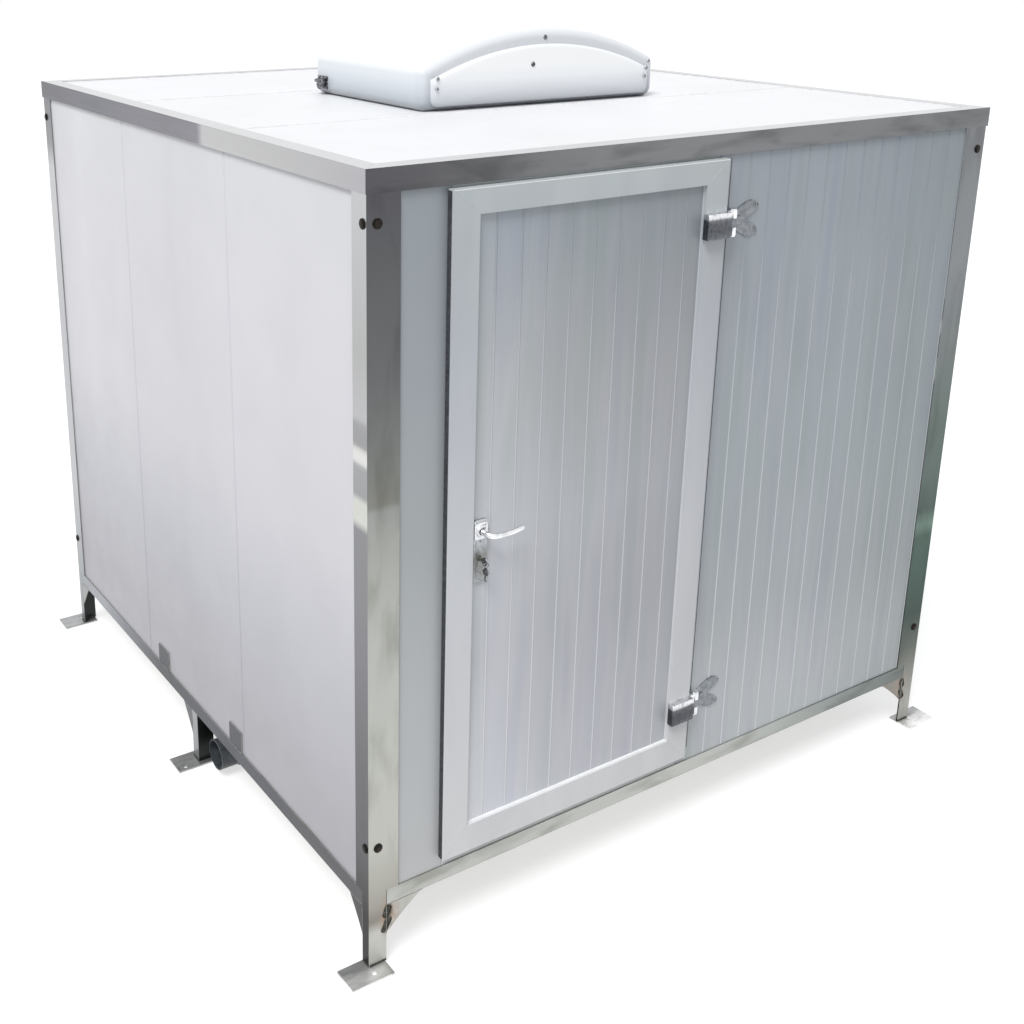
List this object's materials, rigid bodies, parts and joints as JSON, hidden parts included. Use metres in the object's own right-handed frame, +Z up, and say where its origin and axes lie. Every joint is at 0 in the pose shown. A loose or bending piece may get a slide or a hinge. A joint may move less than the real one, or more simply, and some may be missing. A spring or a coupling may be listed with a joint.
{
  "type": "sanitary container",
  "caption": "Walk-in sanitary cabin of white sandwich panels in a stainless angle frame on legs, with a hinged door, toilet, wash basin and a fan under an arched roof hood.",
  "frame": {"origin": "on the ground, under the middle of the cabin, at the centre of the four corner anchor holes", "axes": "+X to the right along the front as one faces the door, +Y towards the rear, +Z up"},
  "size_m": [2.6, 2.557, 2.5858],
  "materials": {
    "stainless_frame": "brushed, weathered",
    "foot_steel": "brushed",
    "galvanised_steel": "galvanised",
    "dark_bolt": "dark, stained",
    "floor_board": "plain",
    "floor_covering": "matte",
    "side_panel": "satin white coating",
    "front_panel": "satin grey-white coating",
    "roof_panel": "satin white coating",
    "door_profile": "satin anodised",
    "door_infill": "satin grey-white coating",
    "gasket_rubber": "matte",
    "bright_hardware": "polished",
    "lock_steel": "satin",
    "lock_brass": "satin",
    "hood_plastic": "gloss",
    "catch_metal": "dark",
    "curb_metal": "satin",
    "motor_paint": "satin",
    "fan_plastic": "matte",
    "white_ceramic": "gloss",
    "seat_plastic": "gloss",
    "pipe_plastic": "matte",
    "light_diffuser": "translucent white"
  },
  "bodies": {
    "cabin": {"corner_post_front_left": "stainless_frame", "corner_post_front_right": "stainless_frame", "corner_post_rear_left": "stainless_frame", "corner_post_rear_right": "stainless_frame", "mid_legs": "stainless_frame", "gussets": "stainless_frame", "bottom_rails": "stainless_frame", "roof_rims": "stainless_frame", "rail_clips": "stainless_frame", "foot_plates": "foot_steel", "cross_members": "galvanised_steel", "fan_bracket": "galvanised_steel", "pipe_hangers": "galvanised_steel", "post_bolts": "dark_bolt", "hood_screws": "dark_bolt", "floor_panel": "floor_board", "floor_covering": "floor_covering", "left_wall_panels": "side_panel", "right_wall_panels": "side_panel", "rear_wall_panels": "side_panel", "front_strip_panel": "front_panel", "front_ribbed_panel": "front_panel", "roof_panels": "roof_panel", "door_jamb": "door_profile", "hinge_wall_leaves": "bright_hardware", "tap_body": "bright_hardware", "wc_hinge_pin": "bright_hardware", "basin_trap": "bright_hardware", "strike_plate": "lock_steel", "hood_shell": "hood_plastic", "hood_front_panel": "hood_plastic", "ceiling_grille": "hood_plastic", "hood_catch": "catch_metal", "roof_curb": "curb_metal", "fan_motor": "motor_paint", "wc_pan": "white_ceramic", "wc_cistern": "white_ceramic", "wash_basin": "white_ceramic", "soil_pipe": "pipe_plastic", "ceiling_light": "light_diffuser"},
    "door": {"door_frame_profile": "door_profile", "door_infill": "door_infill", "door_gasket": "gasket_rubber", "hinge_door_leaves": "bright_hardware", "hinge_pins": "bright_hardware", "handle_plates": "bright_hardware", "lock_case": "lock_steel", "lock_cylinder": "lock_brass"},
    "lever": {"lever_outer": "bright_hardware", "lever_inner": "bright_hardware", "spindle": "lock_steel"},
    "latch": {"latch_bolt": "lock_steel"},
    "deadbolt": {"dead_bolt": "lock_steel"},
    "lock_key": {"cylinder_plug": "lock_brass", "key": "lock_steel"},
    "fan": {"fan_impeller": "fan_plastic"},
    "seat": {"wc_seat": "seat_plastic"},
    "lid": {"wc_lid": "seat_plastic"},
    "flush": {"flush_button": "bright_hardware"},
    "tap": {"tap_button": "bright_hardware"}
  },
  "joints": [
    {"name": "door_swing", "type": "hinge", "parent": "cabin", "child": "door", "pos_m": [0.021, -1.232, 1.2765], "axis": [0, 0, 1], "range_deg": [0, 120]},
    {"name": "lever_turn", "type": "hinge", "parent": "door", "child": "lever", "pos_m": [-0.863, -1.196, 1.315], "axis": [0, 1, 0], "range_deg": [0, 35], "stiffness_Nm_per_rad": 1.5, "springref_deg": -34.38},
    {"name": "latch_slide", "type": "slide", "parent": "door", "child": "latch", "axis": [1, 0, 0], "range_m": [0, 0.0065]},
    {"name": "key_turn", "type": "hinge", "parent": "door", "child": "lock_key", "pos_m": [-0.863, -1.196, 1.23], "axis": [0, 1, 0], "range_deg": [0, 360]},
    {"name": "dead_bolt_slide", "type": "slide", "parent": "door", "child": "deadbolt", "axis": [-1, 0, 0], "range_m": [0, 0.02]},
    {"name": "fan_spin", "type": "hinge", "parent": "cabin", "child": "fan", "pos_m": [0.012, 0, 2.33], "axis": [0, 0, 1], "continuous": true},
    {"name": "seat_lift", "type": "hinge", "parent": "cabin", "child": "seat", "pos_m": [-0.65, 0.922, 0.701], "axis": [-1, 0, 0], "range_deg": [0, 90]},
    {"name": "lid_close", "type": "hinge", "parent": "cabin", "child": "lid", "pos_m": [-0.65, 0.922, 0.701], "axis": [-1, 0, 0], "range_deg": [-96, 0]},
    {"name": "flush_press", "type": "slide", "parent": "cabin", "child": "flush", "axis": [0, 0, -1], "range_m": [0, 0.006], "stiffness_N_per_m": 1000, "springref_m": -0.004},
    {"name": "tap_press", "type": "slide", "parent": "cabin", "child": "tap", "axis": [0, 0, -1], "range_m": [0, 0.005], "stiffness_N_per_m": 2000, "springref_m": -0.003}
  ],
  "couplings": [
    {"joint": "latch_slide", "follows": "lever_turn", "m_per_rad": 0.01064},
    {"joint": "key_turn", "follows": "dead_bolt_slide", "rad_per_m": 314.15}
  ]
}
